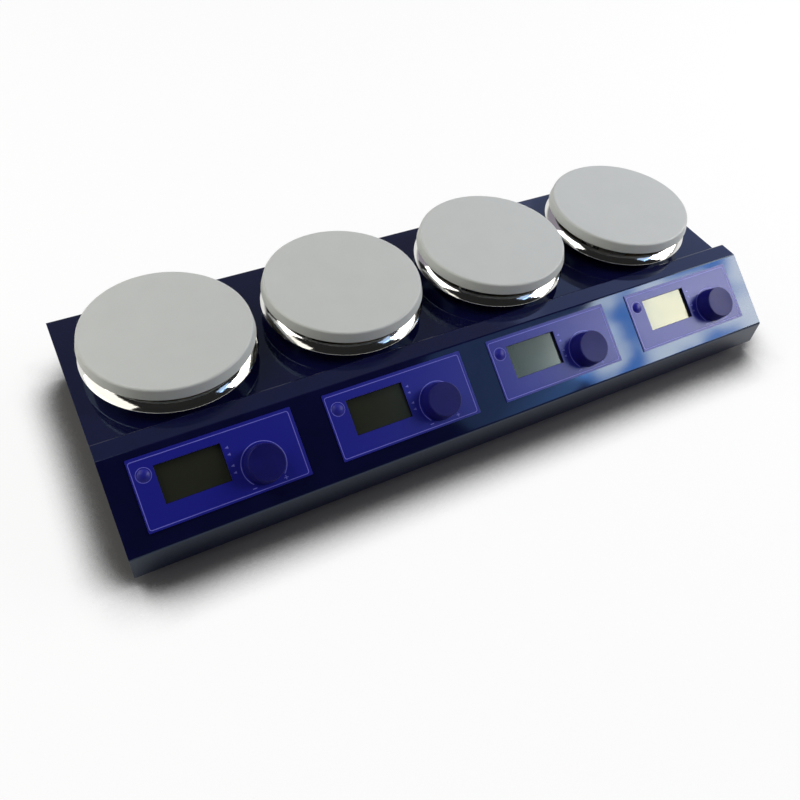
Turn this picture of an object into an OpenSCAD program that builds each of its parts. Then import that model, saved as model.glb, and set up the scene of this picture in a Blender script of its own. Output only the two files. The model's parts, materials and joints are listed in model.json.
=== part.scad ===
// Four-place hotplate stirrer, millimetres.
// +X runs to the right along the row of plates, +Y to the rear, +Z up.
// The origin is on the bench, under the middle of the whole object.

/* [Case] */
// Width of the case along the row of plates
case_w = 604; // [596:1:640]
// Depth of the case, front lip to rear wall
case_d = 222; // [219:1:240]
// Height of the vertical front lip
lip_h = 23.5; // [18:0.5:28]
// Height of the raised rim above the case's lower edge
rim_h = 63.5; // [60:0.5:68]
// Depth of the flat top of the raised rim
rim_w = 17.5; // [14:0.5:20]
// Height of the deck above the case's lower edge
deck_h = 53.5; // [50:0.5:57]
// Depth that the sloped control face takes up, front to back
slope_run = 58.5; // [55:0.5:62]
// Thickness of the case's sheet metal
sheet_t = 1.5; // [1:0.1:2]
// Outside radius of the bends
bend_r = 2.5; // [1.5:0.1:4]
// Height of the turned-up edge of the base tray
tray_h = 10; // [8:0.5:14]

/* [Feet and case screws] */
// Height of a foot
foot_h = 12; // [9:0.5:16]
// Diameter of a foot where it meets the tray
foot_d = 24; // [20:1:30]
// Diameter of a foot on the bench
foot_low_d = 20; // [18:1:20]
// Distance of a foot's middle from the side and end of the case
foot_inset = 34; // [26:1:50]
// Thread diameter of the foot and case screws
screw_d = 4; // [3:0.5:4]
// Diameter of the screw heads
screw_head_d = 8; // [7:0.5:9]
// Height of the screw heads
screw_head_h = 2.4; // [1.5:0.1:2.8]
// Radius of the screw heads' outer edge
screw_edge_r = 1.2; // [0.4:0.1:1.4]
// Length of the cross recess in the screw heads
recess_l = 4; // [3:0.5:5]
// Width and depth of the cross recess
recess_w = 1; // [0.6:0.1:1.2]
// Length of the foot screws under the head
foot_screw_l = 14; // [12:1:18]
// Length of the case screws under the head
case_screw_l = 8; // [6:1:12]
// Distance of the outer rear screws from the ends of the case
rear_screw_inset = 36; // [26:1:40]
// Width of the threaded posts in the corners of the case
corner_w = 14; // [12:0.5:16]
// Height of the corner posts above the case's lower edge
corner_h = 16; // [13:0.5:18]

/* [Plates and dishes] */
// Distance between neighbouring stations
station_pitch = 148.5; // [144:0.5:151]
// Diameter of a plate
plate_d = 135; // [128:1:137]
// Thickness of a plate
plate_t = 9; // [7:0.5:12]
// Lean of a plate's side, from its lower edge to its top
plate_taper = 2; // [0:0.5:4]
// Radius of a plate's upper edge
plate_edge_r = 2; // [1:0.5:4]
// Bevel of a plate's lower edge
plate_bevel = 0.5; // [0.2:0.1:1]
// Height of a plate's underside above the deck
plate_gap = 22.5; // [21:0.5:28]
// Distance from the raised rim to the dish
dish_rim_gap = 1.5; // [0.5:0.5:3]
// Reach of the dish beyond the plate's edge
dish_over = 1.5; // [0:0.5:2]
// Height of the dish's rim above the deck
dish_rim_h = 10; // [8:0.5:12]
// Width of the dish's sloped collar, from the rim inwards
collar_w = 6.5; // [5:0.5:8]
// Rise of the collar from the rim to the dish's mouth
collar_h = 6; // [4:0.5:7]
// Height of the collar's bow over a straight slope
collar_bow = 0.7; // [0.4:0.1:1]
// Radius of the collar's bow
collar_r = 20; // [10:1:22]
// Outside radius of the bend at the dish's rim
dish_bend_r = 0.8; // [0.4:0.1:1.2]
// Width of the tapered wall under the rim
dish_taper_w = 12; // [9:0.5:14]
// Thickness of the dish's metal
dish_t = 1; // [0.6:0.1:1.5]
// Thickness of the fibre ring under the dish
gasket_t = 1.3; // [0.8:0.1:2]
// Radial width of the fibre ring
gasket_w = 16; // [12:1:20]
// Diameter of the ring heater
heater_d = 104; // [100:1:112]
// Diameter of the hole in the ring heater
heater_hole_d = 50; // [30:1:60]
// Thickness of the ring heater
heater_t = 3; // [2:0.5:3.5]
// Diameter of the temperature probe
probe_d = 5; // [3:0.5:6]
// Length of the temperature probe
probe_l = 9; // [6:0.5:9]
// Depth of the probe's hole in the plate
probe_seat = 4; // [2:0.5:5]

/* [Plate posts] */
// Circle on which the posts of a plate stand
post_circle_d = 92; // [88:1:96]
// Diameter of a post
post_d = 8; // [7:0.5:9]
// Diameter of the studs at both ends of a post
stud_d = 4; // [3:0.5:5]
// Length of the upper stud, inside the plate
stud_top_l = 4; // [3:0.5:5]
// Length of the lower stud, below the deck
stud_low_l = 8; // [7:0.5:10]
// Distance across the flats of the post nuts
nut_flats = 7; // [6.5:0.5:8]
// Height of the post nuts
nut_h = 3.2; // [2:0.2:4]

/* [Stirring drive] */
// Diameter of a motor
motor_d = 40; // [34:1:46]
// Length of a motor
motor_l = 33; // [26:1:36]
// Diameter of a motor shaft
shaft_d = 5; // [4:0.5:6]
// Length of shaft inside the motor
shaft_in = 25; // [18:1:25]
// Space between the deck and the bracket's motor plate
bracket_drop = 5; // [4:0.5:7]
// Thickness of the bracket's metal
bracket_t = 1.5; // [1:0.1:2]
// Length of the bracket's motor plate
bracket_l = 60; // [52:1:62]
// Depth of the bracket
bracket_w = 28; // [24:1:30]
// Length of each bracket ear
ear_l = 9; // [6:1:12]
// Length of the magnet carrier
carrier_l = 66; // [60:1:72]
// Width of the magnet carrier
carrier_w = 22; // [20:1:26]
// Thickness of the magnet carrier
carrier_t = 5; // [4:0.5:6]
// Diameter of the carrier's hub
hub_d = 14; // [12:1:16]
// Height of the hub above the carrier
hub_h = 4; // [3:0.5:5]
// Thickness of the hub above the shaft's end
hub_roof = 2; // [1:0.5:3]
// Diameter of a magnet
magnet_d = 16; // [12:1:17]
// Height of a magnet
magnet_h = 8; // [5:0.5:9]
// Depth of a magnet's pocket
magnet_seat = 1; // [0.5:0.1:2]
// Distance between the two magnets
magnet_spacing = 46; // [38:1:47]
// Space between the dish's floor and the carrier
carrier_gap = 2; // [1:0.5:3]

/* [Control face] */
// Width of a printed overlay
overlay_w = 122.5; // [118:0.5:130]
// Height of a printed overlay along the slope
overlay_h = 53.4; // [50:0.2:56]
// Thickness of the printed overlay
overlay_t = 0.8; // [0.4:0.1:1.2]
// Corner radius of an overlay
overlay_r = 0.8; // [0.4:0.2:4]
// Distance from the slope's upper edge to the overlay
overlay_down = 5.2; // [4:0.2:7]
// Width of a display window
lcd_w = 48.4; // [44:0.2:50]
// Height of a display window
lcd_h = 28.5; // [25:0.5:30]
// Left edge of the window from the overlay's left edge
lcd_left = 17; // [16:0.2:18]
// Upper edge of the window from the overlay's upper edge
lcd_down = 9.2; // [8:0.2:11]
// Frame of the display around the window
lcd_frame = 1.2; // [0.8:0.1:1.6]
// Depth of the display's glass below the back of the sheet
lcd_sink = 1.2; // [0.6:0.1:2]
// Space between the sheet and the circuit board
board_gap = 8; // [7:0.5:9]
// Width of a circuit board
board_w = 116; // [114:0.5:124]
// Height of a circuit board along the slope
board_h = 46; // [44:0.5:50]
// Thickness of a circuit board
board_t = 1.6; // [1:0.1:2]

/* [Knobs and buttons] */
// Distance of the knob's axis to the right of the station's middle
knob_x = 29.4; // [27:0.2:31]
// Distance of the knob's axis below the slope's upper edge
knob_down = 39; // [36:0.2:40]
// Diameter of a knob at its foot
knob_d = 30.4; // [28:0.2:32]
// Diameter of a knob at its top
knob_top_d = 27.8; // [24:0.2:28]
// Height of a knob
knob_h = 12.5; // [12:0.5:16]
// Radius of a knob's upper edge
knob_edge_r = 0.8; // [0.4:0.1:2]
// Space between the knob and the overlay
knob_gap = 0.5; // [0.3:0.1:1]
// Diameter of the hollow under a knob
knob_hollow_d = 18; // [15:0.5:20]
// Depth of the hollow under a knob
knob_hollow_h = 6; // [5:0.5:7]
// Thickness of a knob above its shaft
knob_roof = 2.5; // [1.5:0.5:3]
// Diameter of the control shaft
pot_shaft_d = 6; // [5:0.5:6.2]
// Part of the shaft's diameter cut off by its flat
pot_flat = 1.5; // [1:0.1:2]
// Length of shaft inside the potentiometer
pot_shaft_in = 5; // [3:0.5:6]
// Diameter of the potentiometer's body
pot_d = 17; // [15:0.5:19]
// Diameter of the threaded bush
bush_d = 8; // [7.5:0.5:9]
// Height of the threaded bush above the overlay
bush_h = 3.5; // [2.5:0.5:4]
// Distance across the flats of the bush nut
bush_nut_flats = 11; // [10.5:0.5:12]
// Height of the bush nut
bush_nut_h = 2; // [1.5:0.1:2.4]
// Distance of the button's axis left of the station's middle
button_x = 52.2; // [51.6:0.2:53]
// Distance of the button's axis below the slope's upper edge
button_down = 19; // [17:0.2:21]
// Diameter of a button
button_d = 9.2; // [8.4:0.2:9.4]
// Height of the button's dome
button_dome = 1.8; // [1.2:0.1:2.4]
// Travel of a button
button_travel = 0.6; // [0.3:0.1:1]
// Diameter of the collar behind the sheet
button_collar_d = 11.2; // [10.4:0.2:11.4]
// Thickness of the collar
button_collar_t = 1.2; // [0.8:0.1:1.5]
// Length of the button's tail behind the collar
button_tail = 2; // [1:0.1:2]
// Diameter of the button's tail
button_tail_d = 4; // [3:0.5:5]
// Width of the board switch under a button
tact_w = 6.5; // [5:0.5:7]

/* [Mains side] */
// Distance of the inlet's middle from the middle of the case
inlet_x = 236; // [225:1:245]
// Height of the inlet's middle above the case's lower edge
inlet_z = 28; // [26:0.5:32]
// Width of the inlet's body
inlet_w = 27; // [26.5:0.5:29]
// Height of the inlet's body
inlet_h = 20; // [19.5:0.5:22]
// Reach of the inlet's flange beyond its body
inlet_lip = 2.2; // [1.5:0.1:3]
// Thickness of the inlet's flange
inlet_flange_t = 3; // [2.8:0.1:4]
// Width of the inlet's socket
socket_w = 24; // [23.5:0.1:24.4]
// Height of the inlet's socket
socket_h = 16.6; // [16.4:0.1:17.2]
// Depth of the inlet's socket from the flange's face
socket_depth = 17; // [15:0.5:18]
// Bevel of the socket's upper corners
socket_bevel = 4; // [3:0.5:4.5]
// Thickness of the inlet's back wall
inlet_back_t = 5; // [3:0.5:6]
// Thickness of a contact blade
blade_t = 2; // [1.6:0.1:2.2]
// Height of a contact blade
blade_h = 4; // [3.6:0.1:4.4]
// Distance of the outer blades from the middle
blade_x = 7; // [6.8:0.1:7.4]
// Distance of the blades above or below the middle
blade_z = 2; // [1.8:0.1:2.2]
// Distance from a blade's tip to the flange's face
blade_back = 2; // [1:0.5:4]
// Length of a blade's tail behind the inlet
blade_tail = 7; // [4:1:10]
// Distance of the switch's middle from the middle of the case
switch_x = 200; // [190:1:205]
// Width of the switch's body
switch_w = 13; // [12.6:0.1:14]
// Height of the switch's body
switch_h = 19.4; // [19.2:0.2:21]
// Reach of the switch's bezel beyond its body
switch_lip = 1.2; // [0.8:0.1:2]
// Thickness of the switch's bezel
switch_bezel_t = 1.8; // [1.4:0.1:2]
// Depth of the switch's body behind the wall
switch_depth = 15; // [13:1:18]
// Wall of the switch's body
switch_wall = 1.1; // [1:0.05:1.2]
// Tilt of the rocker at rest and at the other end of its travel
rocker_tilt = 8; // [5:0.5:9]
// Depth of the rocker's pivot behind the case wall
rocker_pivot = 3; // [2.5:0.1:4]
// Diameter of the rocker's pivot pins
rocker_pin_d = 2.4; // [2:0.1:2.8]
// Depth of the rocker's edge below the bezel's face when level
rocker_sink = 0.6; // [0.4:0.1:1]
// Depth of the rocker below its pivot
rocker_keel = 3; // [2:0.5:4]
// Length of the power supply's board
supply_w = 130; // [110:1:140]
// Depth of the power supply's board
supply_d = 40; // [36:1:44]
// Length of the power supply's box
supply_box_w = 96; // [80:1:100]
// Depth of the power supply's box
supply_box_d = 32; // [26:1:34]
// Height of the power supply's box above its board
supply_h = 24; // [18:1:28]
// Width and height of the legs under the power supply
supply_leg = 5; // [4:0.5:6]

/* [Ventilation slots] */
// Width of a slot
slot_w = 3; // [2:0.5:4]
// Length of a slot
slot_l = 22; // [16:1:26]
// Distance between neighbouring slots
slot_pitch = 7; // [6:0.5:9]
// Number of slots in a group
slot_count = 9; // [5:1:11]
// Distance of the rear slot groups from the middle
slot_group_x = 90; // [70:1:110]

/* [Fits] */
// Radial clearance of turning and sliding fits
run_clear = 0.05; // [0.03:0.01:0.1]
// Radial clearance of screws, studs and other held pieces in their holes
hole_clear = 0.1; // [0.05:0.05:0.3]
// Radial clearance of pieces that pass a hole freely
pass_clear = 1.5; // [1:0.5:2.5]
// Gap between the rocker and its bezel
rocker_clear = 0.35; // [0.3:0.05:0.5]
// Gap at the ends of pins, studs and shafts in blind holes
end_clear = 0.3; // [0.2:0.05:0.5]

/* [Hidden] */
$fn = 72;
bend_steps = 8;
past = 1;
stations = [1, 2, 3, 4];
post_angles = [90, 210, 330];

// Heights above the bench
case_z = foot_h;
deck_z = case_z + deck_h;
rim_z = case_z + rim_h;
plate_z = deck_z + plate_gap;
plate_top_z = plate_z + plate_t;

// Depths: the inlet's flange is what reaches furthest back
front_y = -(case_d + inlet_flange_t) / 2;
rear_y = front_y + case_d;
mid_y = (front_y + rear_y) / 2;
slope_top_y = front_y + slope_run;
rim_rear_y = slope_top_y + rim_w;
dish_r = plate_d / 2 + dish_over;
station_y = rim_rear_y + dish_rim_gap + dish_r;

// The sloped face
slope_angle = atan2(rim_h - lip_h, slope_run);
lcd_x = -overlay_w / 2 + lcd_left + lcd_w / 2;
lcd_y = -(overlay_down + lcd_down + lcd_h / 2);
overlay_y = -(overlay_down + overlay_h / 2);
board_y = overlay_y;
board_face = -sheet_t - board_gap;

// Dish, rotor and motor, measured up from the deck
dish_floor = gasket_t + dish_t;
mouth_r = dish_r - collar_w;
carrier_z = dish_floor + carrier_gap;
shaft_seat = carrier_t + hub_h - hub_roof;
motor_face = -sheet_t - bracket_drop - bracket_t;

// Knob and button, measured out from the sheet's face
knob_foot = overlay_t + knob_gap;
shaft_top = knob_foot + knob_h - knob_roof;
button_back = -sheet_t - button_collar_t - button_tail;
tact_h = board_gap - button_collar_t - button_tail - button_travel - end_clear;

// Middle of a station along the row
function station_x(i) = (i - 2.5) * station_pitch;

// Unit vector from one point to another
function toward(a, b) = (b - a) / norm(b - a);

// Points of a corner b between a and c, rounded to radius r
function round_corner(a, b, c, r) =
    let (u = toward(b, a), v = toward(b, c),
         half = acos(u * v) / 2,
         middle = b + (u + v) / norm(u + v) * r / sin(half),
         from = b + u * r / tan(half) - middle,
         to = b + v * r / tan(half) - middle,
         start = atan2(from[1], from[0]),
         turn = atan2(from[0] * to[1] - from[1] * to[0], from * to))
    [for (k = [0 : bend_steps])
        middle + r * [cos(start + turn * k / bend_steps), sin(start + turn * k / bend_steps)]];

// Outline through corners, each rounded to its own radius, where 0 keeps it sharp
function rounded(corners, radii) =
    let (n = len(corners))
    [for (k = [0 : n - 1])
        each radii[k] == 0 ? [corners[k]] :
            round_corner(corners[(k + n - 1) % n], corners[k], corners[(k + 1) % n], radii[k])];

// Corner b between a and c of a clockwise outline, moved inwards by t
function inset_corner(a, b, c, t) =
    let (u = toward(a, b), v = toward(b, c),
         p = [u[1], -u[0]], q = [v[1], -v[0]])
    b + (p + q) * t / (1 + p * q);

// Side view of the case, clockwise from the lower front edge
case_corners = [
    [front_y, case_z], [front_y, case_z + lip_h], [slope_top_y, rim_z], [rim_rear_y, rim_z],
    [rim_rear_y, deck_z], [rear_y, deck_z], [rear_y, case_z]];
bends = [for (k = [1 : 5]) k];
inner_bend_r = max(bend_r - sheet_t, 0.2);
hollow_corners = concat(
    [[front_y + sheet_t, case_z - past]],
    [for (k = bends) inset_corner(case_corners[k - 1], case_corners[k], case_corners[k + 1], sheet_t)],
    [[rear_y - sheet_t, case_z - past]]);
case_outline = rounded(case_corners, [0, bend_r, bend_r, bend_r, bend_r, bend_r, 0]);
case_hollow = rounded(hollow_corners,
    [0, inner_bend_r, inner_bend_r, inner_bend_r, bend_r + sheet_t, inner_bend_r, 0]);

// Sheet drawn in the side view and stretched along X, centred
module along_x(length) {
    translate([-length / 2, 0, 0]) rotate([90, 0, 90]) linear_extrude(length) children();
}

// Places at a station: on the deck, and on the sloped face with +Z outwards
module on_deck(i) {
    translate([station_x(i), station_y, deck_z]) children();
}

module on_slope(i) {
    translate([station_x(i), slope_top_y, rim_z]) rotate([slope_angle, 0, 0]) children();
}

module at_knob(i) {
    on_slope(i) translate([knob_x, -knob_down, 0]) children();
}

module at_button(i) {
    on_slope(i) translate([-button_x, -button_down, 0]) children();
}

// Places on the rear wall, with +Y outwards from its face
module at_inlet() {
    translate([inlet_x, rear_y, case_z + inlet_z]) children();
}

module at_switch() {
    translate([switch_x, rear_y, case_z + inlet_z]) children();
}

module at_posts() {
    for (a = post_angles) rotate(a) translate([post_circle_d / 2, 0, 0]) rotate(-a) children();
}

module at_feet() {
    for (x = [-1, 1], y = [-1, 1])
        translate([x * (case_w / 2 - foot_inset), mid_y + y * (case_d / 2 - foot_inset), 0]) children();
}

// Corner posts stand inside the tray's turned-up edge, each mirrored so that +X +Y points to its corner
module at_corners() {
    inset = 2 * sheet_t + hole_clear + corner_w / 2;
    for (x = [-1, 1], y = [-1, 1])
        translate([x * (case_w / 2 - inset), mid_y + y * (case_d / 2 - inset), case_z]) scale([x, y, 1]) children();
}

// Case screws point inwards along -Z of their own place, head on the metal's face
module at_rear_screws() {
    screw_z = case_z + sheet_t + (tray_h - sheet_t) / 2;
    for (x = [-1, 0, 1])
        translate([x * (case_w / 2 - rear_screw_inset), rear_y, screw_z]) rotate([-90, 0, 0]) children();
}

module at_case_screws() {
    at_rear_screws() children();
    at_corners() rotate([180, 0, 0]) children();
}

// Box centred in X and Y that stands on z = 0
module block(size) {
    translate([-size[0] / 2, -size[1] / 2, 0]) cube(size);
}

// Hole from z = 0 down through the sheet
module sheet_hole(d) {
    translate([0, 0, -sheet_t - past]) cylinder(d = d, h = sheet_t + 2 * past);
}

// Hexagon nut with its bore
module hex_nut(flats, h, bore) {
    difference() {
        cylinder(d = flats / cos(30), h = h, $fn = 6);
        translate([0, 0, -past]) cylinder(d = bore, h = h + 2 * past);
    }
}

// Screw along -Z with its rounded head on z = 0 and a cross recess
module pan_screw(length) {
    r = screw_head_d / 2;
    h = screw_head_h;
    difference() {
        union() {
            rotate_extrude() polygon(concat([[0, 0], [r, 0]],
                round_corner([r, 0], [r, h], [0, h], screw_edge_r), [[0, h]]));
            translate([0, 0, -length]) cylinder(d = screw_d, h = length + h / 2);
        }
        translate([0, 0, h - recess_w]) {
            block([recess_l, recess_w, recess_w + past]);
            block([recess_w, recess_l, recess_w + past]);
        }
    }
}

// Round shaft with one flat over its whole length
module d_shaft(d, flat, h) {
    intersection() {
        cylinder(d = d, h = h);
        translate([-d, -d, 0]) cube([2 * d, 1.5 * d - flat, h]);
    }
}

module slot_row(length, width) {
    for (k = [0 : slot_count - 1])
        translate([(k - (slot_count - 1) / 2) * slot_pitch, 0, 0]) cube([width, length, length], center = true);
}

// Folded shell of the case, open below
module case_shell() {
    difference() {
        along_x(case_w) polygon(case_outline);
        along_x(case_w - 2 * sheet_t) polygon(case_hollow);
    }
}

// Threaded post for the corner at +X +Y: it clears the tray below,
// and above it reaches half a sheet's thickness into both walls
module corner_post() {
    shoulder = tray_h + end_clear;
    reach = corner_w / 2 + hole_clear + 1.5 * sheet_t;
    difference() {
        union() {
            translate([0, 0, sheet_t]) block([corner_w, corner_w, corner_h - sheet_t]);
            translate([-corner_w / 2, -corner_w / 2, shoulder])
                cube([corner_w / 2 + reach, corner_w / 2 + reach, corner_h - shoulder]);
        }
        cylinder(d = screw_d + 2 * hole_clear, h = case_screw_l + end_clear);
    }
}

module upper_case() {
    color([0.08, 0.09, 0.2]) difference() {
        union() {
            case_shell();
            at_corners() corner_post();
        }
        for (i = stations) {
            on_slope(i) translate([lcd_x, lcd_y, -sheet_t - past]) block([lcd_w, lcd_h, sheet_t + 2 * past]);
            at_knob(i) sheet_hole(bush_d + 2 * hole_clear);
            at_button(i) sheet_hole(button_d + 2 * run_clear);
            on_deck(i) sheet_hole(shaft_d + 2 * pass_clear);
            on_deck(i) at_posts() sheet_hole(stud_d + 2 * hole_clear);
        }
        at_rear_screws() sheet_hole(screw_d + 2 * hole_clear);
        at_inlet() cube([inlet_w, 4 * sheet_t, inlet_h], center = true);
        at_switch() cube([switch_w, 4 * sheet_t, switch_h], center = true);
        for (s = [-1, 1])
            translate([s * slot_group_x, rear_y, case_z + inlet_z]) rotate([90, 0, 0])
                slot_row(slot_l, slot_w);
    }
}

module base_plate() {
    inner_w = case_w - 2 * sheet_t;
    inner_d = case_d - 2 * sheet_t;
    color("silver") difference() {
        translate([0, mid_y, case_z]) block([inner_w, inner_d, tray_h]);
        translate([0, mid_y, case_z + sheet_t])
            block([inner_w - 2 * sheet_t, inner_d - 2 * sheet_t, tray_h]);
        at_feet() translate([0, 0, case_z - past]) cylinder(d = screw_d + 2 * hole_clear, h = sheet_t + 2 * past);
        at_case_screws() translate([0, 0, -2 * sheet_t - past])
            cylinder(d = screw_d + 2 * hole_clear, h = 2 * sheet_t + 2 * past);
        for (i = stations)
            translate([station_x(i), station_y, case_z]) slot_row(slot_l, slot_w);
    }
}

module rubber_feet() {
    head_seat = foot_h / 2;
    color([0.08, 0.08, 0.08]) at_feet() difference() {
        cylinder(d1 = foot_low_d, d2 = foot_d, h = foot_h);
        translate([0, 0, -past]) cylinder(d = screw_head_d + 2 * pass_clear, h = head_seat + past);
        translate([0, 0, -past]) cylinder(d = screw_d + 2 * hole_clear, h = foot_h + 2 * past);
    }
}

module foot_screws() {
    head_seat = foot_h / 2;
    color("silver") at_feet() translate([0, 0, head_seat]) rotate([180, 0, 0]) pan_screw(foot_screw_l);
}

module case_screws() {
    color("silver") at_case_screws() pan_screw(case_screw_l);
}

// Half section of a plate: flat disc with a side that leans in and a rounded upper edge
function plate_outline() =
    let (r = plate_d / 2)
    concat([[0, 0], [r - plate_bevel, 0], [r, plate_bevel]],
           round_corner([r, plate_bevel], [r - plate_taper, plate_t], [0, plate_t], plate_edge_r),
           [[0, plate_t]]);

module hotplate(i) {
    color([0.88, 0.89, 0.88]) translate([0, 0, plate_gap]) on_deck(i) difference() {
        rotate_extrude() polygon(plate_outline());
        translate([0, 0, -past]) cylinder(d = probe_d + 2 * hole_clear, h = probe_seat + past);
        at_posts() translate([0, 0, -past]) cylinder(d = stud_d + 2 * hole_clear, h = stud_top_l + past);
    }
}

// Half section of a dish, clockwise from its mouth: bowed collar, folded rim, tapered wall and flat floor
module dish_section() {
    mouth = [mouth_r, dish_rim_h + collar_h];
    rim = [dish_r, dish_rim_h];
    bow = (mouth + rim) / 2 + [collar_h, collar_w] / norm([collar_h, collar_w]) * collar_bow;
    outside = [mouth, bow, rim, [dish_r - dish_taper_w, gasket_t], [0, gasket_t]];
    inside = [for (k = [1 : 3]) inset_corner(outside[k - 1], outside[k], outside[k + 1], dish_t)];
    slope = toward(bow, mouth);
    mouth_below = inside[0] + slope * (mouth_r - inside[0][0]) / slope[0];
    polygon(rounded(concat(outside, [[0, dish_floor], inside[2], inside[1], inside[0], mouth_below]),
        [0, collar_r, dish_bend_r, 0, 0, 0, 0, 0, collar_r - dish_t, 0]));
}

module reflector(i) {
    color([0.85, 0.86, 0.88]) on_deck(i) difference() {
        rotate_extrude() dish_section();
        cylinder(d = shaft_d + 2 * pass_clear, h = dish_floor + past);
        at_posts() cylinder(d = post_d + 2 * hole_clear, h = dish_floor + past);
    }
}

module deck_gaskets() {
    color([0.75, 0.72, 0.65]) for (i = stations) on_deck(i) difference() {
        cylinder(d = post_circle_d + gasket_w, h = gasket_t);
        translate([0, 0, -past]) cylinder(d = post_circle_d - gasket_w, h = gasket_t + 2 * past);
        at_posts() translate([0, 0, -past]) cylinder(d = post_d + 2 * hole_clear, h = gasket_t + 2 * past);
    }
}

module heating_elements() {
    color([0.55, 0.5, 0.4]) for (i = stations)
        on_deck(i) translate([0, 0, plate_gap - heater_t]) difference() {
            cylinder(d = heater_d, h = heater_t);
            translate([0, 0, -past]) cylinder(d = heater_hole_d, h = heater_t + 2 * past);
            at_posts() translate([0, 0, -past]) cylinder(d = post_d + 2 * hole_clear, h = heater_t + 2 * past);
        }
}

module temperature_probes() {
    color("silver") for (i = stations)
        on_deck(i) translate([0, 0, plate_gap + probe_seat - probe_l]) cylinder(d = probe_d, h = probe_l);
}

module plate_posts() {
    color("silver") for (i = stations) on_deck(i) at_posts() {
        cylinder(d = post_d, h = plate_gap);
        translate([0, 0, -stud_low_l]) cylinder(d = stud_d, h = stud_low_l + plate_gap + stud_top_l - end_clear);
    }
}

module post_nuts() {
    color("silver") for (i = stations) on_deck(i) at_posts()
        translate([0, 0, -sheet_t - nut_h]) hex_nut(nut_flats, nut_h, stud_d + 2 * hole_clear);
}

module motors() {
    color([0.25, 0.25, 0.27]) for (i = stations)
        on_deck(i) translate([0, 0, motor_face - motor_l]) difference() {
            cylinder(d = motor_d, h = motor_l);
            translate([0, 0, motor_l - shaft_in - end_clear])
                cylinder(d = shaft_d + 2 * run_clear, h = shaft_in + end_clear + past);
        }
}

module motor_brackets() {
    leg_h = bracket_drop + bracket_t;
    color("silver") for (i = stations) on_deck(i) translate([0, 0, -sheet_t - leg_h]) difference() {
        union() {
            block([bracket_l, bracket_w, bracket_t]);
            for (s = [-1, 1]) {
                translate([s * (bracket_l - bracket_t) / 2, 0, 0]) block([bracket_t, bracket_w, leg_h]);
                translate([s * (bracket_l + ear_l - bracket_t) / 2, 0, leg_h - bracket_t])
                    block([ear_l + bracket_t, bracket_w, bracket_t]);
            }
        }
        translate([0, 0, -past]) cylinder(d = shaft_d + 2 * pass_clear, h = bracket_t + 2 * past);
    }
}

module motor_shaft(i) {
    length = shaft_in - motor_face + carrier_z + shaft_seat;
    color("silver") on_deck(i) translate([0, 0, motor_face - shaft_in]) cylinder(d = shaft_d, h = length);
}

module magnet_carrier(i) {
    color([0.7, 0.71, 0.73]) on_deck(i) translate([0, 0, carrier_z]) difference() {
        union() {
            block([carrier_l, carrier_w, carrier_t]);
            cylinder(d = hub_d, h = carrier_t + hub_h);
        }
        translate([0, 0, -past]) cylinder(d = shaft_d + 2 * hole_clear, h = shaft_seat + past);
        for (s = [-1, 1])
            translate([s * magnet_spacing / 2, 0, carrier_t - magnet_seat])
                cylinder(d = magnet_d + 2 * hole_clear, h = magnet_seat + past);
    }
}

module magnets(i) {
    color("gainsboro") on_deck(i) for (s = [-1, 1])
        translate([s * magnet_spacing / 2, 0, carrier_z + carrier_t - magnet_seat])
            cylinder(d = magnet_d, h = magnet_h);
}

module overlay(i) {
    w = overlay_w / 2;
    h = overlay_h / 2;
    corners = [[-w, -h], [-w, h], [w, h], [w, -h]];
    color([0.11, 0.11, 0.51]) difference() {
        on_slope(i) translate([0, overlay_y, 0]) linear_extrude(overlay_t)
            polygon(rounded(corners, [for (c = corners) overlay_r]));
        on_slope(i) translate([lcd_x, lcd_y, -past]) block([lcd_w, lcd_h, overlay_t + 2 * past]);
        at_knob(i) translate([0, 0, -past]) cylinder(d = bush_d + 2 * hole_clear, h = overlay_t + 2 * past);
        at_button(i) translate([0, 0, -past]) cylinder(d = button_d + 2 * run_clear, h = overlay_t + 2 * past);
    }
}

module lcd(i) {
    color([0.3, 0.35, 0.28]) on_slope(i) translate([lcd_x, lcd_y, board_face]) difference() {
        block([lcd_w + 2 * lcd_frame, lcd_h + 2 * lcd_frame, board_gap]);
        translate([0, 0, board_gap - lcd_sink]) block([lcd_w, lcd_h, lcd_sink + past]);
    }
}

module control_boards() {
    color([0.1, 0.35, 0.2]) for (i = stations) {
        on_slope(i) translate([0, board_y, board_face - board_t]) block([board_w, board_h, board_t]);
        at_button(i) translate([0, 0, board_face]) block([tact_w, tact_w, tact_h]);
    }
}

module potentiometers() {
    color([0.2, 0.2, 0.2]) for (i = stations) at_knob(i) difference() {
        union() {
            translate([0, 0, board_face]) cylinder(d = pot_d, h = board_gap);
            translate([0, 0, board_face]) cylinder(d = bush_d, h = board_gap + sheet_t + overlay_t + bush_h);
        }
        translate([0, 0, -sheet_t - pot_shaft_in - end_clear])
            cylinder(d = pot_shaft_d + 2 * run_clear, h = pot_shaft_in + sheet_t + overlay_t + bush_h + end_clear + past);
    }
}

module pot_nuts() {
    color("silver") for (i = stations) at_knob(i) translate([0, 0, overlay_t])
        hex_nut(bush_nut_flats, bush_nut_h, bush_d + 2 * hole_clear);
}

module pot_shaft(i) {
    round_h = pot_shaft_in + sheet_t + overlay_t + bush_h;
    color([0.8, 0.75, 0.6]) at_knob(i) translate([0, 0, -sheet_t - pot_shaft_in]) {
        cylinder(d = pot_shaft_d, h = round_h);
        d_shaft(pot_shaft_d, pot_flat, shaft_top + sheet_t + pot_shaft_in);
    }
}

// Half section of a knob: slightly tapered, with a rounded upper edge
function knob_outline() =
    let (foot = [knob_d / 2, 0], shoulder = [knob_top_d / 2, knob_h])
    concat([[0, 0], foot], round_corner(foot, shoulder, [0, knob_h], knob_edge_r), [[0, knob_h]]);

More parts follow.
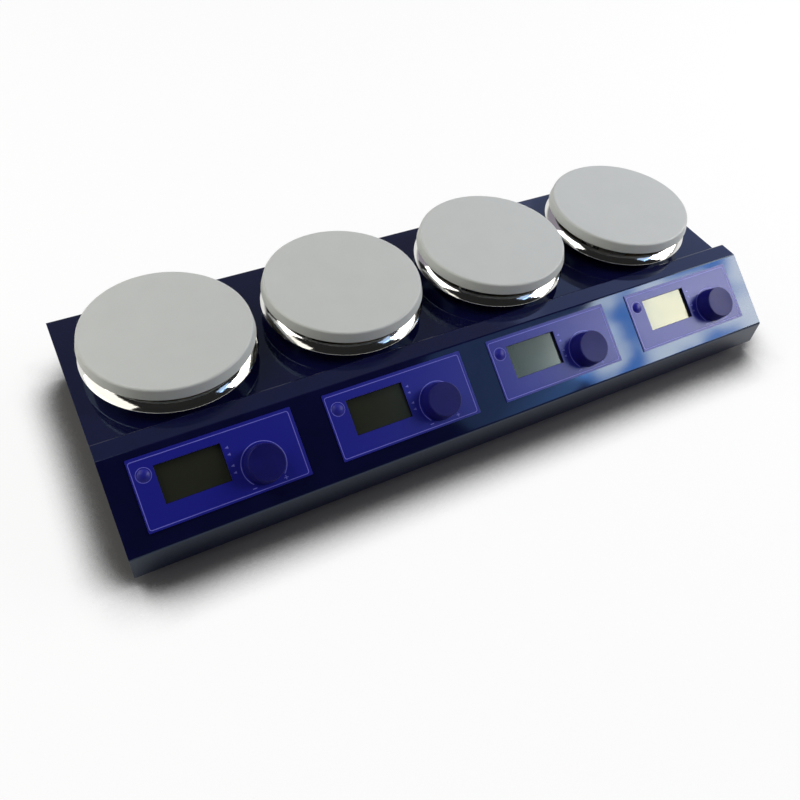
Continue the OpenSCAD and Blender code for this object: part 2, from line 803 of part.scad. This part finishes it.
module knob(i) {
    color([0.15, 0.14, 0.4]) at_knob(i) translate([0, 0, knob_foot]) difference() {
        rotate_extrude() polygon(knob_outline());
        translate([0, 0, -past]) cylinder(d = knob_hollow_d, h = knob_hollow_h + past);
        d_shaft(pot_shaft_d + 2 * hole_clear, pot_flat, knob_h - knob_roof);
    }
}

module button(i) {
    r = button_d / 2;
    ball_r = (r * r + button_dome * button_dome) / (2 * button_dome);
    color([0.2, 0.2, 0.6]) at_button(i) {
        intersection() {
            translate([0, 0, -sheet_t]) cylinder(d = button_d, h = sheet_t + overlay_t + button_dome + past);
            translate([0, 0, overlay_t + button_dome - ball_r]) sphere(r = ball_r);
        }
        translate([0, 0, -sheet_t - button_collar_t]) cylinder(d = button_collar_d, h = button_collar_t);
        translate([0, 0, -sheet_t - button_collar_t / 2]) cylinder(d = button_d, h = sheet_t + button_collar_t / 2);
        translate([0, 0, button_back]) cylinder(d = button_tail_d, h = button_tail + button_collar_t / 2);
    }
}

// Socket's front view: a rectangle with both upper corners bevelled
module socket_outline() {
    w = socket_w / 2;
    h = socket_h / 2;
    polygon([[-w, -h], [-w, h - socket_bevel], [socket_bevel - w, h],
             [w - socket_bevel, h], [w, h - socket_bevel], [w, -h]]);
}

// One contact blade's middle in the front view for each blade
blade_places = [[-blade_x, -blade_z], [blade_x, -blade_z], [0, blade_z]];
inlet_floor = inlet_flange_t - socket_depth;

module blades(from, to) {
    for (p = blade_places)
        translate([p[0] - blade_t / 2, from, p[1] - blade_h / 2]) cube([blade_t, to - from, blade_h]);
}

module mains_inlet() {
    body_l = inlet_back_t - inlet_floor;
    color([0.06, 0.06, 0.06]) at_inlet() difference() {
        union() {
            translate([-inlet_w / 2, -body_l, -inlet_h / 2]) cube([inlet_w, body_l + inlet_flange_t, inlet_h]);
            translate([-inlet_w / 2 - inlet_lip, 0, -inlet_h / 2 - inlet_lip])
                cube([inlet_w + 2 * inlet_lip, inlet_flange_t, inlet_h + 2 * inlet_lip]);
        }
        translate([0, inlet_flange_t + past, 0]) rotate([90, 0, 0])
            linear_extrude(socket_depth + past) socket_outline();
        blades(-body_l - past, inlet_floor + past);
    }
}

module inlet_pins() {
    body_l = inlet_back_t - inlet_floor;
    color([0.8, 0.8, 0.78]) at_inlet() blades(-body_l - blade_tail, inlet_flange_t - blade_back);
}

// Width of the rocker's place in its housing
pocket_w = switch_w - 2 * switch_wall;
pocket_h = switch_h - 2 * switch_wall;
rocker_w = pocket_w - 2 * rocker_clear;

module switch_housing() {
    floor_y = -switch_depth + switch_wall;
    color([0.05, 0.05, 0.05]) at_switch() difference() {
        union() {
            translate([-switch_w / 2, -switch_depth, -switch_h / 2])
                cube([switch_w, switch_depth + switch_bezel_t, switch_h]);
            translate([-switch_w / 2 - switch_lip, 0, -switch_h / 2 - switch_lip])
                cube([switch_w + 2 * switch_lip, switch_bezel_t, switch_h + 2 * switch_lip]);
        }
        translate([-pocket_w / 2, floor_y, -pocket_h / 2])
            cube([pocket_w, switch_bezel_t - floor_y + past, pocket_h]);
        translate([0, -rocker_pivot, 0]) rotate([0, 90, 0])
            cylinder(d = rocker_pin_d + 2 * run_clear, h = switch_w + 2 * past, center = true);
    }
}

// The rocker lies off at rest: its lower half is pressed out and its upper half in
module switch_rocker() {
    crown = rocker_pivot + switch_bezel_t - rocker_sink;
    reach = (pocket_h / 2 - rocker_clear - crown * sin(rocker_tilt)) / cos(rocker_tilt);
    color([0.07, 0.07, 0.07]) at_switch() translate([0, -rocker_pivot, 0]) rotate([rocker_tilt, 0, 0]) {
        translate([-rocker_w / 2, 0, 0]) rotate([90, 0, 90]) linear_extrude(rocker_w)
            polygon([[-rocker_keel, -reach / 2], [crown, -reach], [crown - reach * tan(rocker_tilt), 0],
                     [crown, reach], [-rocker_keel, reach / 2]]);
        rotate([0, 90, 0]) cylinder(d = rocker_pin_d, h = switch_w - 2 * end_clear, center = true);
    }
}

module power_supply() {
    supply_y = rear_y - case_screw_l - pass_clear - supply_d / 2;
    leg_x = (supply_w - supply_leg) / 2;
    leg_y = (supply_d - supply_leg) / 2;
    color([0.15, 0.4, 0.25]) translate([0, supply_y, case_z + sheet_t]) {
        for (x = [-1, 1], y = [-1, 1])
            translate([x * leg_x, y * leg_y, 0]) block([supply_leg, supply_leg, supply_leg]);
        translate([0, 0, supply_leg]) block([supply_w, supply_d, board_t]);
        translate([0, 0, supply_leg]) block([supply_box_w, supply_box_d, board_t + supply_h]);
    }
}

upper_case();
base_plate();
rubber_feet();
foot_screws();
case_screws();
for (i = stations) {
    hotplate(i);
    reflector(i);
    overlay(i);
    lcd(i);
    knob(i);
    button(i);
    pot_shaft(i);
    motor_shaft(i);
    magnet_carrier(i);
    magnets(i);
}
heating_elements();
temperature_probes();
plate_posts();
post_nuts();
deck_gaskets();
motors();
motor_brackets();
control_boards();
potentiometers();
pot_nuts();
mains_inlet();
inlet_pins();
switch_housing();
switch_rocker();
power_supply();
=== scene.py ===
import json
import math

import bmesh
import bpy
from mathutils import Matrix, Vector


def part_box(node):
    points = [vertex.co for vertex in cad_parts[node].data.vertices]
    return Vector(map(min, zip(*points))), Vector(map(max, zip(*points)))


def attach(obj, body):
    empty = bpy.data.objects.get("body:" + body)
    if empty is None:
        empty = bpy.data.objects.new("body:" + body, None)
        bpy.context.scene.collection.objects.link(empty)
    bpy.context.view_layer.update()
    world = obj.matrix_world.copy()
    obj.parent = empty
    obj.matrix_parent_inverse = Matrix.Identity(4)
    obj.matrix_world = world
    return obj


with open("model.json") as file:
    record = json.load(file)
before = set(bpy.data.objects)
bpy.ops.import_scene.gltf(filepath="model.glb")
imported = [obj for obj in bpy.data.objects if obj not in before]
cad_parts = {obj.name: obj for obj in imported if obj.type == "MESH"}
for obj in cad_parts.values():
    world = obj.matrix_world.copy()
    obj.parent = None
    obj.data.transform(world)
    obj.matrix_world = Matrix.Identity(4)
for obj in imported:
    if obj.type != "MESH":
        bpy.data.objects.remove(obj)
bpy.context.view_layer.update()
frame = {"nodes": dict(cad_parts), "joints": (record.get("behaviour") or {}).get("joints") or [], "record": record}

MM = 0.001
STATIONS = (1, 2, 3, 4)
NODES = frame["nodes"]
JOINTS = {joint["name"]: joint for joint in frame["joints"]}

# Axes of the sloped control face, taken from the axis that a knob turns about
SLOPE_OUT = Vector(JOINTS["knob_1_turn"]["axis"]).normalized()
SLOPE_RIGHT = Vector((1, 0, 0))
SLOPE_UP = SLOPE_OUT.cross(SLOPE_RIGHT)


# Shader helpers

def new_shader(name, **sockets):
    """Material with a Principled shader whose even values are set on its own sockets."""
    material = bpy.data.materials.new(name)
    material.use_nodes = True
    shader = material.node_tree.nodes["Principled BSDF"]
    for label, value in sockets.items():
        shader.inputs[label.replace("_", " ")].default_value = value
    return material, material.node_tree, shader


def rgba(colour):
    return (*colour, 1.0)


def noise(tree, scale, stretch):
    """Noise over the piece's own coordinates. The scale is in waves per metre."""
    detail = 3.0
    place = tree.nodes.new("ShaderNodeTexCoord")
    spread = tree.nodes.new("ShaderNodeMapping")
    spread.inputs["Scale"].default_value = stretch
    texture = tree.nodes.new("ShaderNodeTexNoise")
    texture.inputs["Scale"].default_value = scale
    texture.inputs["Detail"].default_value = detail
    tree.links.new(place.outputs["Object"], spread.inputs["Vector"])
    tree.links.new(spread.outputs["Vector"], texture.inputs["Vector"])
    return texture.outputs["Fac"]


def between(tree, fac, low, high, start=0.3, end=0.7):
    """Number that runs from low to high as fac runs from start to end."""
    ramp = tree.nodes.new("ShaderNodeMapRange")
    ramp.inputs["From Min"].default_value = start
    ramp.inputs["From Max"].default_value = end
    ramp.inputs["To Min"].default_value = low
    ramp.inputs["To Max"].default_value = high
    tree.links.new(fac, ramp.inputs["Value"])
    return ramp.outputs["Result"]


def blend_colours(tree, fac, first, second):
    """Colour that runs from first to second as fac runs from 0 to 1."""
    mix = tree.nodes.new("ShaderNodeMix")
    mix.data_type = "RGBA"
    mix.inputs["A"].default_value = rgba(first)
    mix.inputs["B"].default_value = rgba(second)
    tree.links.new(fac, mix.inputs["Factor"])
    return mix.outputs["Result"]


def tinted(colour, factor):
    """Colour made darker or lighter by a factor."""
    return tuple(min(1.0, channel * factor) for channel in colour)


def surface(name, colour, roughness, grain=400.0, mottle=0.12, rough_spread=0.06, bump=0.0,
            bump_scale=900.0, stretch=(1, 1, 1), edge=0.0, **sockets):
    """Procedural material: cloudy colour, uneven gloss and a fine relief, with softened edges.

    Grain and bump_scale are in waves per metre, bump and edge in metres, mottle is a share of the colour.
    """
    gloss_scale = grain * 0.37
    edge_samples = 4
    material, tree, shader = new_shader(name, **sockets)
    cloud = between(tree, noise(tree, grain, stretch), 0.0, 1.0)
    colours = blend_colours(tree, cloud, tinted(colour, 1 - mottle), tinted(colour, 1 + mottle))
    tree.links.new(colours, shader.inputs["Base Color"])
    patches = noise(tree, gloss_scale, stretch)
    gloss = between(tree, patches, roughness - rough_spread, roughness + rough_spread)
    tree.links.new(gloss, shader.inputs["Roughness"])
    relief = tree.nodes.new("ShaderNodeBump")
    relief.inputs["Distance"].default_value = bump
    tree.links.new(noise(tree, bump_scale, stretch), relief.inputs["Height"])
    if edge:
        softened = tree.nodes.new("ShaderNodeBevel")
        softened.samples = edge_samples
        softened.inputs["Radius"].default_value = edge
        tree.links.new(softened.outputs["Normal"], relief.inputs["Normal"])
    tree.links.new(relief.outputs["Normal"], shader.inputs["Normal"])
    return material


# Materials, one for each slot of the record

LOOKS = {
    "navy_paint": dict(colour=(0.0045, 0.005, 0.035), roughness=0.07, grain=60, rough_spread=0.015,
                       bump=2e-6, bump_scale=330, edge=0.3 * MM, Specular_IOR_Level=0.47,
                       Specular_Tint=(0.52, 0.75, 1.0, 1.0)),
    "zinc_steel": dict(colour=(0.50, 0.51, 0.52), roughness=0.36, grain=180, bump=4e-6,
                       edge=0.2 * MM, Metallic=1.0),
    "black_rubber": dict(colour=(0.017, 0.017, 0.018), roughness=0.72, grain=500, bump=3e-5,
                         edge=0.5 * MM),
    "screw_steel": dict(colour=(0.55, 0.55, 0.56), roughness=0.27, grain=700, bump=2e-6,
                        edge=0.25 * MM, Metallic=1.0),
    "white_ceramic": dict(colour=(0.625, 0.65, 0.615), roughness=0.42, grain=45, mottle=0.015,
                          bump=6e-6, bump_scale=1400, Specular_IOR_Level=0.42),
    "polished_dish": dict(colour=(0.74, 0.735, 0.71), roughness=0.07, grain=130, mottle=0.03,
                          rough_spread=0.025, bump=1.2e-6, bump_scale=300, stretch=(0.02, 0.02, 4),
                          edge=0.3 * MM, Metallic=1.0),
    "blue_film": dict(colour=(0.0155, 0.017, 0.29), roughness=0.3, grain=40, mottle=0.02,
                      rough_spread=0.012, bump=3e-6, bump_scale=2600, edge=0.15 * MM,
                      Specular_IOR_Level=0.42, Specular_Tint=(0.86, 0.93, 1.0, 1.0)),
    "display": dict(colour=(0.008, 0.008, 0.008), roughness=0.5, grain=300, bump=5e-6,
                    Specular_IOR_Level=0.3),
    "blue_knob": dict(colour=(0.007, 0.006, 0.115), roughness=0.42, grain=90, bump=6e-6,
                      bump_scale=2000, edge=0.3 * MM, Specular_IOR_Level=0.27,
                      Specular_Tint=(0.7, 0.74, 1.0, 1.0)),
    "blue_button": dict(colour=(0.0155, 0.017, 0.28), roughness=0.42, grain=90, mottle=0.06,
                        bump=2e-6, bump_scale=1500, Specular_IOR_Level=0.3),
    "shaft_steel": dict(colour=(0.58, 0.58, 0.57), roughness=0.25, grain=500, bump=2e-6,
                        stretch=(1, 1, 6), Metallic=1.0),
    "carrier_aluminium": dict(colour=(0.68, 0.69, 0.70), roughness=0.33, grain=300, bump=3e-6,
                              Metallic=1.0),
    "magnet_nickel": dict(colour=(0.62, 0.61, 0.58), roughness=0.16, grain=250, bump=1e-6,
                          Metallic=1.0),
    "heater_mica": dict(colour=(0.32, 0.27, 0.19), roughness=0.6, grain=260, mottle=0.3, bump=3e-5),
    "gasket_fibre": dict(colour=(0.5, 0.47, 0.4), roughness=0.85, grain=900, mottle=0.25,
                         bump=8e-5),
    "motor_enamel": dict(colour=(0.04, 0.04, 0.044), roughness=0.38, grain=200, bump=8e-6),
    "circuit_board": dict(colour=(0.018, 0.11, 0.045), roughness=0.42, grain=220, mottle=0.3,
                          bump=1e-5),
    "black_plastic": dict(colour=(0.018, 0.018, 0.019), roughness=0.5, grain=600, bump=1.5e-5,
                          bump_scale=2400, edge=0.3 * MM),
    "rocker_plastic": dict(colour=(0.014, 0.014, 0.015), roughness=0.26, grain=500, bump=3e-6,
                           edge=0.3 * MM),
    "contact_brass": dict(colour=(0.66, 0.62, 0.50), roughness=0.28, grain=400, bump=2e-6,
                          edge=0.2 * MM, Metallic=1.0),
}


# Materials of the pieces that the scene adds

PALE_INK = dict(colour=(0.2, 0.2, 0.72), roughness=0.36, grain=300, mottle=0.06, bump=4e-6,
                Specular_IOR_Level=0.3)
SCREEN_GLASS = dict(colour=(0.081, 0.088, 0.06), roughness=0.16, grain=120, mottle=0.02, rough_spread=0.02,
                    bump=1e-6, Metallic=0.7)
WHITE_INK = dict(colour=(0.7, 0.7, 0.68), roughness=0.5, grain=300, mottle=0.05, bump=4e-6)


def dress_nodes(materials):
    """Gives each CAD node the material of its slot in the record."""
    for part in frame["record"]["subparts"]:
        for slot in NODES[part["node"]].material_slots:
            slot.material = materials[part["material_slot"]]


# Print on the overlays

# Height of printed ink above its face, and how far it reaches into it
INK_HEIGHT = 0.06 * MM
INK_SUNK = 0.02 * MM


def overlay_face(i):
    """Place of an overlay's printed face with its width and height.

    The origin is at its middle, x points to the right, y up the slope and z outwards.
    """
    points = [vertex.co for vertex in NODES[f"overlay_{i}"].data.vertices]
    spans = []
    for axis in (SLOPE_RIGHT, SLOPE_UP, SLOPE_OUT):
        along = [point.dot(axis) for point in points]
        spans.append((min(along), max(along)))
    (left, right), (low, high), (_, face) = spans
    middle = SLOPE_RIGHT * (left + right) / 2 + SLOPE_UP * (low + high) / 2 + SLOPE_OUT * face
    turn = Matrix((SLOPE_RIGHT, SLOPE_UP, SLOPE_OUT)).transposed().to_4x4()
    return Matrix.Translation(middle) @ turn, right - left, high - low


def arc_points(middle, radius, start, end, count):
    """Points of an arc in the plane, with angles in degrees."""
    points = []
    for k in range(count + 1):
        angle = math.radians(start + (end - start) * k / count)
        points.append(Vector((middle[0] + radius * math.cos(angle), middle[1] + radius * math.sin(angle))))
    return points


def ring_points(middle, radius):
    """Points of a full circle, without the last one that would repeat the first."""
    steps = 40
    return arc_points(middle, radius, 0, 360, steps)[:-1]


def rounded_rectangle(width, height, radius):
    """Outline of a rectangle round the origin with rounded corners."""
    corner_steps = 8
    points = []
    for quarter, (x, y) in enumerate(((1, 1), (-1, 1), (-1, -1), (1, -1))):
        corner = (x * (width / 2 - radius), y * (height / 2 - radius))
        points += arc_points(corner, radius, 90 * quarter, 90 * quarter + 90, corner_steps)
    return points


def ink_line(mesh, line, width, closed):
    """Printed line: a thin closed strip along points of the plane, lying on z = 0."""
    count = len(line)
    rings = []
    for k in range(count):
        before = line[k - 1] if closed or k else line[k]
        after = line[(k + 1) % count] if closed or k < count - 1 else line[k]
        along = (after - before).normalized()
        side = Vector((-along.y, along.x)) * width / 2
        rings.append([mesh.verts.new((*(line[k] + s * side), z))
                      for s, z in ((1, INK_HEIGHT), (-1, INK_HEIGHT), (-1, -INK_SUNK), (1, -INK_SUNK))])
    for k in range(count if closed else count - 1):
        here, there = rings[k], rings[(k + 1) % count]
        for a in range(4):
            b = (a + 1) % 4
            mesh.faces.new((here[a], here[b], there[b], there[a]))
    if not closed:
        mesh.faces.new(reversed(rings[0]))
        mesh.faces.new(rings[-1])


def ink_patch(mesh, outline):
    """Printed area: a thin closed plate over an outline of the plane, lying on z = 0."""
    top = [mesh.verts.new((*point, INK_HEIGHT)) for point in outline]
    bottom = [mesh.verts.new((*point, -INK_SUNK)) for point in outline]
    mesh.faces.new(top)
    mesh.faces.new(reversed(bottom))
    for k in range(len(outline)):
        after = (k + 1) % len(outline)
        mesh.faces.new((top[after], top[k], bottom[k], bottom[after]))


def cross_outline(middle, arm, width):
    """Outline of a plus sign."""
    w = width / 2
    quarter = [Vector((w, w)), Vector((w, arm)), Vector((-w, arm))]
    points = []
    for k in range(4):
        points += [Vector(middle) + Matrix.Rotation(math.radians(90 * k), 2) @ corner for corner in quarter]
    return points


def finished_piece(name, mesh, place, material):
    """Object made from a mesh that was built at the origin, put at its place."""
    bmesh.ops.recalc_face_normals(mesh, faces=mesh.faces)
    data = bpy.data.meshes.new(name)
    mesh.to_mesh(data)
    mesh.free()
    data.transform(place)
    data.materials.append(material)
    piece = bpy.data.objects.new(name, data)
    bpy.context.scene.collection.objects.link(piece)
    return piece


def print_overlay(i, ink):
    """Border line, knob arc with minus and plus, button ring and four pointers beside the display."""
    border_left, border_right = 1.2 * MM, 2.5 * MM
    border_low, border_high = 1.8 * MM, 2.5 * MM
    border_radius = 1.8 * MM
    border_width = 0.55 * MM
    arc_radius = 16.85 * MM
    arc_width = 0.6 * MM
    arc_start, arc_end, arc_steps = -45, 225, 60
    ring_radius = 5.45 * MM
    ring_width = 0.4 * MM
    sign_radius = 19.2 * MM
    sign_arm = 1.6 * MM
    sign_width = 0.6 * MM
    less_angle, more_angle = 231, -51
    pointer_tip = 6.2 * MM
    pointer_rows = (12.7 * MM, 7.5 * MM, -1.1 * MM, -6.4 * MM)
    pointer_length = 2.6 * MM
    pointer_half = 1.0 * MM
    place, width, height = overlay_face(i)
    inverse = place.inverted()
    knob = (inverse @ Vector(JOINTS[f"knob_{i}_turn"]["pos_m"])).to_2d()
    low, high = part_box(f"button_{i}")
    button = (inverse @ ((low + high) / 2)).to_2d()
    mesh = bmesh.new()
    inside = (width - border_left - border_right, height - border_low - border_high)
    shift = Vector((border_left - border_right, border_low - border_high)) / 2
    border = [point + shift for point in rounded_rectangle(*inside, border_radius)]
    ink_line(mesh, border, border_width, True)
    ink_line(mesh, arc_points(knob, arc_radius, arc_start, arc_end, arc_steps), arc_width, False)
    ink_line(mesh, ring_points(button, ring_radius), ring_width, True)
    less, more = (arc_points(knob, sign_radius, angle, angle, 1)[0] for angle in (less_angle, more_angle))
    reach = Vector((sign_arm, 0))
    ink_line(mesh, [less - reach, less + reach], sign_width, False)
    ink_patch(mesh, cross_outline(more, sign_arm, sign_width))
    for y in pointer_rows:
        tip = Vector((pointer_tip, y))
        ink_patch(mesh, [tip + Vector(corner) for corner in
                         ((0, 0), (pointer_length, -pointer_half), (pointer_length, pointer_half))])
    piece = finished_piece(f"overlay_print_{i}", mesh, place, ink)
    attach(piece, "case")


# Display glass

def slab_with_soft_edge(mesh, width, height, thickness, radius, edge):
    """Flat plate on z = 0 with rounded corners and a bevelled front edge."""
    shoulder = edge * 0.3
    steps = ((0, 0), (0, thickness - edge), (shoulder, thickness - shoulder), (edge, thickness))
    rings = []
    for inset, z in steps:
        outline = rounded_rectangle(width - 2 * inset, height - 2 * inset, radius - inset)
        rings.append([mesh.verts.new((*point, z)) for point in outline])
    for here, there in zip(rings, rings[1:]):
        for k in range(len(here)):
            after = (k + 1) % len(here)
            mesh.faces.new((here[k], here[after], there[after], there[k]))
    mesh.faces.new(reversed(rings[0]))
    mesh.faces.new(rings[-1])


def glaze_display(i, glass):
    """Glass on the floor of a display's recess."""
    frame_width = 1.2 * MM
    recess = 1.2 * MM
    thickness = 1.0 * MM
    corner_radius = 0.5 * MM
    front_edge = 0.2 * MM
    clearance = 0.05 * MM
    place, _, _ = overlay_face(i)
    inverse = place.inverted()
    points = [inverse @ vertex.co for vertex in NODES[f"lcd_{i}"].data.vertices]
    low = [min(point[axis] for point in points) for axis in range(3)]
    high = [max(point[axis] for point in points) for axis in range(3)]
    width, height = (high[axis] - low[axis] - 2 * (frame_width + clearance) for axis in (0, 1))
    seat = Vector(((low[0] + high[0]) / 2, (low[1] + high[1]) / 2, high[2] - recess))
    mesh = bmesh.new()
    slab_with_soft_edge(mesh, width, height, thickness, corner_radius, front_edge)
    piece = finished_piece(f"display_glass_{i}", mesh, place @ Matrix.Translation(seat), glass)
    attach(piece, "case")


# Marks on the mains rocker

def rocker_faces():
    """Places of the rocker's lower and upper face.

    The origin is in the middle of the face, x points to the right as seen from behind, and z outwards.
    """
    smallest = 10 * MM * MM
    faces_back = 0.9
    data = NODES["switch_rocker"].data
    faces = {}
    for polygon in data.polygons:
        if polygon.normal.y > faces_back and polygon.area > smallest:
            lean = round(polygon.normal.z, 1)
            _, points = faces.setdefault(lean, (polygon.normal.copy(), []))
            points.extend(data.vertices[k].co for k in polygon.vertices)
    right = Vector((-1, 0, 0))
    places = []
    for outwards, points in faces.values():
        low = Vector([min(point[axis] for point in points) for axis in range(3)])
        high = Vector([max(point[axis] for point in points) for axis in range(3)])
        turn = Matrix((right, outwards.cross(right), outwards)).transposed().to_4x4()
        places.append(Matrix.Translation((low + high) / 2) @ turn)
    return sorted(places, key=lambda place: place.translation.z)


def mark_rocker(ink):
    """Bar for on on the lower face and ring for off on the upper one."""
    bar_reach = Vector((0, 1.6 * MM))
    ring_radius = 1.5 * MM
    stroke = 0.55 * MM
    lower, upper = rocker_faces()
    bar = bmesh.new()
    ink_line(bar, [-bar_reach, bar_reach], stroke, False)
    ring = bmesh.new()
    ink_line(ring, ring_points((0, 0), ring_radius), stroke, True)
    for name, mesh, place in (("rocker_mark_on", bar, lower), ("rocker_mark_off", ring, upper)):
        piece = finished_piece(name, mesh, place, ink)
        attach(piece, "rocker")


# Floor, light and camera

def soft_light(name, place, aim, size, radiance, colour):
    """Rectangular softbox that faces a point. Radiance 1 looks white in a mirror."""
    lamp = bpy.data.lights.new(name, "AREA")
    lamp.shape = "RECTANGLE"
    lamp.size, lamp.size_y = size
    lamp.color = colour
    lamp.energy = radiance * math.pi * size[0] * size[1]
    holder = bpy.data.objects.new(name, lamp)
    holder.location = place
    holder.rotation_euler = (Vector(aim) - Vector(place)).to_track_quat("-Z", "Y").to_euler()
    bpy.context.scene.collection.objects.link(holder)
    return lamp


def lamp_face(lamp):
    """Shader nodes of a softbox, and the place on its face, which runs from 0 to 1 across and upwards."""
    lamp.use_nodes = True
    tree = lamp.node_tree
    return tree, tree.nodes.new("ShaderNodeNewGeometry").outputs["Parametric"]


def cloud_light(lamp, first, second, scale, offset):
    """Gives a softbox an uneven cloth: soft patches of two colours."""
    detail = 6.0
    patch_start, patch_end = 0.45, 0.57
    tree, spot = lamp_face(lamp)
    spread = tree.nodes.new("ShaderNodeMapping")
    spread.inputs["Location"].default_value = offset
    texture = tree.nodes.new("ShaderNodeTexNoise")
    texture.inputs["Scale"].default_value = scale
    texture.inputs["Detail"].default_value = detail
    tree.links.new(spot, spread.inputs["Vector"])
    tree.links.new(spread.outputs["Vector"], texture.inputs["Vector"])
    cloud = between(tree, texture.outputs["Fac"], 0.0, 1.0, patch_start, patch_end)
    patches = blend_colours(tree, cloud, first, second)
    tree.links.new(patches, tree.nodes["Emission"].inputs["Color"])


def graded_light(lamp, low, high, reach):
    """Gives a softbox a colour that runs from its lower edge to a share of its height."""
    tree, spot = lamp_face(lamp)
    height = tree.nodes.new("ShaderNodeSeparateXYZ")
    tree.links.new(spot, height.inputs["Vector"])
    rise = between(tree, height.outputs["Y"], 0.0, 1.0, 0.0, reach)
    tree.links.new(blend_colours(tree, rise, low, high), tree.nodes["Emission"].inputs["Color"])


def seen_directly(tree):
    """1 for camera, glossy and transmission rays, 0 for light that is scattered."""
    path = tree.nodes.new("ShaderNodeLightPath")
    total = path.outputs["Is Camera Ray"]
    for label in ("Is Glossy Ray", "Is Transmission Ray"):
        both = tree.nodes.new("ShaderNodeMath")
        both.operation = "MAXIMUM"
        tree.links.new(total, both.inputs[0])
        tree.links.new(path.outputs[label], both.inputs[1])
        total = both.outputs["Value"]
    return total


def make_floor():
    """Pale floor that looks white to the camera and in mirrors, with a painted contact shadow: its glow is dimmed
    close to the object.
    """
    half = 6.0
    level = -0.2 * MM
    bounce = 0.13
    glow = 0.88
    shade_reach = 0.05
    shade_samples = 16
    full_shade, no_shade = 0.7, 0.95
    data = bpy.data.meshes.new("floor")
    corners = [(x * half, y * half, level) for x, y in ((-1, -1), (1, -1), (1, 1), (-1, 1))]
    data.from_pydata(corners, [], [(0, 1, 2, 3)])
    floor = bpy.data.objects.new("floor", data)
    bpy.context.scene.collection.objects.link(floor)
    material, tree, shader = new_shader("floor_white", Roughness=0.9, Specular_IOR_Level=0.0,
                                        Base_Color=(bounce, bounce, bounce, 1), Emission_Color=(1, 1, 1, 1))
    # Ambient occlusion dims the floor's glow near the object: a painted contact shadow, also seen in mirrors
    shade = tree.nodes.new("ShaderNodeAmbientOcclusion")
    shade.samples = shade_samples
    shade.inputs["Distance"].default_value = shade_reach
    strength = tree.nodes.new("ShaderNodeMath")
    strength.operation = "MULTIPLY"
    tree.links.new(seen_directly(tree), strength.inputs[0])
    glow_with_painted_shadow = between(tree, shade.outputs["AO"], 0.0, glow, full_shade, no_shade)
    tree.links.new(glow_with_painted_shadow, strength.inputs[1])
    tree.links.new(strength.outputs["Value"], shader.inputs["Emission Strength"])
    data.materials.append(material)


def make_backdrop():
    """World that is white near the horizon where it is seen, and dark above and for scattered light."""
    ceiling = 0.02
    white_below, dark_above = 0.1, 0.3
    world = bpy.data.worlds.new("studio")
    bpy.context.scene.world = world
    world.use_nodes = True
    tree = world.node_tree
    direction = tree.nodes.new("ShaderNodeTexCoord")
    height = tree.nodes.new("ShaderNodeSeparateXYZ")
    tree.links.new(direction.outputs["Generated"], height.inputs["Vector"])
    strength = tree.nodes.new("ShaderNodeMix")
    strength.inputs["A"].default_value = ceiling
    tree.links.new(seen_directly(tree), strength.inputs["Factor"])
    wall = between(tree, height.outputs["Z"], 1.0, ceiling, white_below, dark_above)
    tree.links.new(wall, strength.inputs["B"])
    tree.links.new(strength.outputs["Result"], tree.nodes["Background"].inputs["Strength"])
    tree.nodes["Background"].inputs["Color"].default_value = (1, 1, 1, 1)


def make_light():
    """World and softboxes. Each row gives a lamp's place and size in metres, its radiance and its colour."""
    middle = (0.0, 0.0, 0.05)
    warm = (1.0, 0.97, 0.9)
    white = (1.0, 1.0, 1.0)
    rows = {
        "window": ((1.62, -0.10, 0.93), (0.95, 0.93), 5.0, warm),
        "window_low": ((1.575, -0.851, 0.702), (0.55, 0.41), 2.0, warm),
        "cloud_box": ((1.355, -0.80, 1.114), (0.55, 0.52), 15.5, white),
        "sky_box": ((0.96, -0.93, 1.42), (0.5, 0.45), 1.0, white),
        "right_back_box": ((1.35, 0.95, 0.95), (1.0, 0.9), 1.08, (0.6, 0.67, 1.0)),
        "back_panel": ((0.2, 1.6, 1.2), (2.4, 1.4), 0.36, (0.84, 0.77, 0.92)),
        "left_box": ((-1.6, 0.2, 0.66), (1.8, 1.1), 1.4, warm),
        "back_left_box": ((-0.85, 0.65, 1.4), (1.2, 1.0), 3.2, (1.0, 0.98, 0.94)),
    }
    make_backdrop()
    lamps = {name: soft_light(name, place, middle, size, radiance, colour)
             for name, (place, size, radiance, colour) in rows.items()}
    cloud_light(lamps["cloud_box"], (1.0, 0.89, 0.84), (0.07, 0.21, 0.52), 4.2, (0.0, 0.0, 6.5))
    graded_light(lamps["sky_box"], (1.2, 2.1, 3.8), (0.5, 0.7, 1.05), 0.36)


def make_camera():
    """Camera at the photograph's viewing angle: place in metres, turn in degrees, lens in millimetres."""
    place = (-0.3042, -0.4189, 0.5219)
    turn = (41.455, -4.926, -28.185)
    lens, sensor = 35.387, 36.0
    nearest = 0.01
    data = bpy.data.cameras.new("camera")
    data.lens = lens
    data.sensor_width = sensor
    data.clip_start = nearest
    camera = bpy.data.objects.new("camera", data)
    camera.location = place
    camera.rotation_euler = [math.radians(angle) for angle in turn]
    bpy.context.scene.collection.objects.link(camera)
    bpy.context.scene.camera = camera


materials = {slot: surface(f"{slot}_finish", **look) for slot, look in LOOKS.items()}
pale_ink = surface("pale_ink", **PALE_INK)
screen_glass = surface("screen_glass", **SCREEN_GLASS)
white_ink = surface("white_ink", **WHITE_INK)
dress_nodes(materials)
for station in STATIONS:
    print_overlay(station, pale_ink)
    glaze_display(station, screen_glass)
mark_rocker(white_ink)
make_floor()
make_light()
make_camera()
bpy.context.scene.view_settings.view_transform = "Standard"
